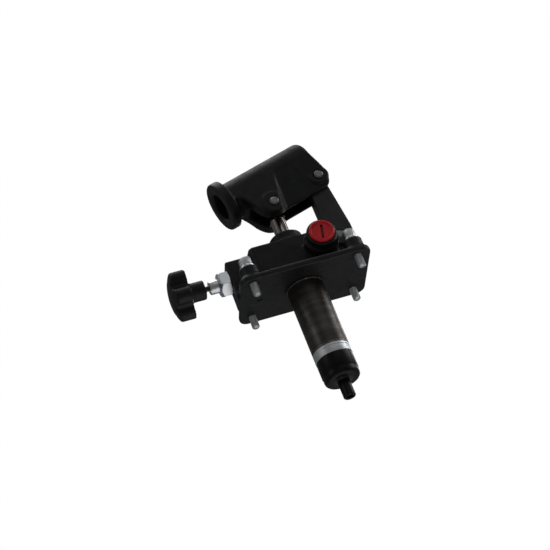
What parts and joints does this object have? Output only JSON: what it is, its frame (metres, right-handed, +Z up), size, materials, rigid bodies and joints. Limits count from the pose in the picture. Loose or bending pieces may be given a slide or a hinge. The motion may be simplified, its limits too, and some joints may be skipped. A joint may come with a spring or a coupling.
{
  "type": "tank-top hydraulic hand pump",
  "caption": "Double-acting hydraulic hand pump with a flanged body, tank barrel and suction nozzle, piston rod on a link lever socket, release knob and plugged port.",
  "frame": {"origin": "centre of the four flange screws on the underside of the flange", "axes": "+Z up the piston rod, -Z down the barrel into the tank; +X from the release knob to the link arm; +Y to the back, away from the port"},
  "size_m": [0.2002, 0.085, 0.2937],
  "materials": {
    "cast_paint": "satin black stove enamel on a casting",
    "barrel_steel": "drawn steel tube, lightly oiled",
    "zinc": "bright zinc plate",
    "chrome": "ground hard chrome",
    "black_oxide": "black oxide, oiled",
    "spring_steel": "dark spring steel",
    "brass": "turned",
    "rubber": "matt",
    "red_plastic": "moulded",
    "black_plastic": "fine moulded grain"
  },
  "bodies": {
    "body": {"pump_body": "cast_paint", "pump_barrel": "barrel_steel", "barrel_oring": "rubber", "barrel_lock_ring": "zinc", "suction_end_cap": "black_oxide", "suction_nozzle": "black_oxide", "suction_seat": "brass", "suction_spring": "spring_steel", "suction_cage": "brass", "rod_gland": "brass", "gland_oring": "rubber", "rod_seal": "rubber", "gland_nut": "black_oxide", "rod_wiper": "rubber", "release_valve_body": "zinc", "release_oring": "rubber", "delivery_seat": "brass", "flange_screws": "zinc", "spring_washers": "zinc", "flat_washers": "zinc"},
    "rod": {"piston_rod": "chrome", "piston": "barrel_steel", "piston_seal": "rubber", "piston_wear_ring": "brass", "piston_nut": "zinc"},
    "socket": {"handle_socket": "cast_paint", "rod_pin": "zinc", "link_upper_pin": "zinc", "socket_pin_clips": "spring_steel"},
    "link": {"link_arm": "cast_paint", "link_lower_pin": "zinc", "lower_pin_clip": "spring_steel"},
    "spindle": {"release_spindle": "barrel_steel"},
    "knob": {"release_knob": "black_plastic", "knob_insert": "brass"},
    "plug": {"port_plug": "red_plastic"},
    "foot_ball": {"suction_ball": "chrome"},
    "outlet_ball": {"delivery_ball": "chrome"}
  },
  "joints": [
    {"name": "rod_slide", "type": "slide", "parent": "body", "child": "rod", "axis": [0, 0, 1], "range_m": [-0.0031, 0.0324]},
    {"name": "lever_hinge", "type": "hinge", "parent": "rod", "child": "socket", "pos_m": [0, 0, 0.095], "axis": [0, 1, 0], "range_deg": [-3, 32]},
    {"name": "link_hinge", "type": "hinge", "parent": "body", "child": "link", "pos_m": [0.0532, 0, 0.045], "axis": [0, 1, 0], "range_deg": [-0.3, 3]},
    {"name": "spindle_slide", "type": "slide", "parent": "body", "child": "spindle", "axis": [-1, 0, 0], "range_m": [0, 0.0025]},
    {"name": "knob_turn", "type": "hinge", "parent": "spindle", "child": "knob", "pos_m": [-0.095, 0, 0.028], "axis": [-1, 0, 0], "range_deg": [0, 720]},
    {"name": "plug_slide", "type": "slide", "parent": "body", "child": "plug", "axis": [0, -1, 0], "range_m": [0, 0.016]},
    {"name": "foot_ball_lift", "type": "slide", "parent": "body", "child": "foot_ball", "axis": [0, 0, 1], "range_m": [0, 0.002], "stiffness_N_per_m": 80, "springref_m": -0.002, "deforming": ["suction_spring"]},
    {"name": "outlet_ball_lift", "type": "slide", "parent": "body", "child": "outlet_ball", "axis": [0, -1, 0], "range_m": [0, 0.0015]}
  ],
  "couplings": [
    {"joint": "rod_slide", "follows": "lever_hinge", "m_per_rad": 0.0578},
    {"joint": "link_hinge", "follows": "lever_hinge", "ratio": 0.0895},
    {"joint": "knob_turn", "follows": "spindle_slide", "rad_per_m": 5026.5}
  ]
}
